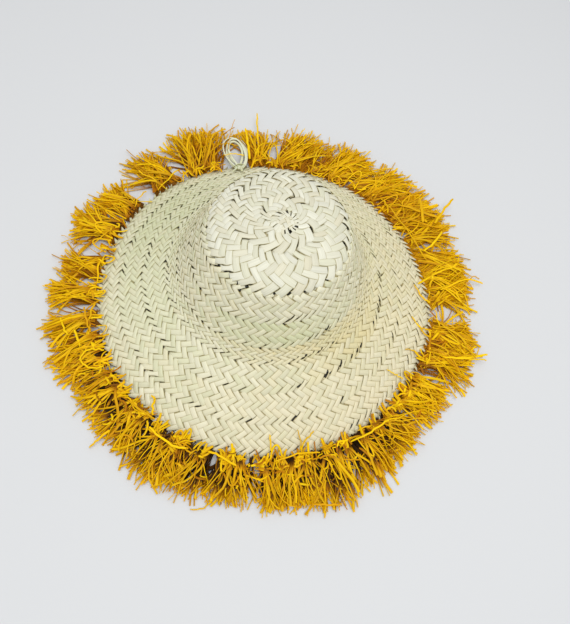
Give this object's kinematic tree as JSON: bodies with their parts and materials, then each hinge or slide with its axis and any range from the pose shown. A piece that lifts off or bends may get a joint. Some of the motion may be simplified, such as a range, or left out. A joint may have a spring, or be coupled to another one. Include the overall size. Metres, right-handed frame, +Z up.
{
  "type": "straw hat with raffia fringe",
  "caption": "Wide-brimmed palm straw hat, sewn from spiral herringbone plait, with a domed crown, a knotted raffia fringe round the brim edge and a small palm hanging loop at the back.",
  "frame": {"origin": "on the surface that the hat lies on, below the middle of the crown", "axes": "+Z is up through the crown; -Y is the front, towards the viewer; the hanging loop is at the back, a little to the left of +Y"},
  "size_m": [0.4759, 0.4815, 0.149],
  "materials": {
    "palm_wide": "pale, wide split palm strands with a faint satin sheen",
    "palm_plait": "narrower cream, tan and greenish split palm strands in a flat herringbone plait",
    "raffia": "dyed mustard raffia strands, slightly waxy",
    "palm_green": "pale green palm strands, wound by hand"
  },
  "bodies": {
    "root": {"crown_tip": "palm_wide", "crown_side": "palm_plait", "brim": "palm_plait", "fringe": "raffia", "hanging_loop": "palm_green"}
  },
  "joints": []
}
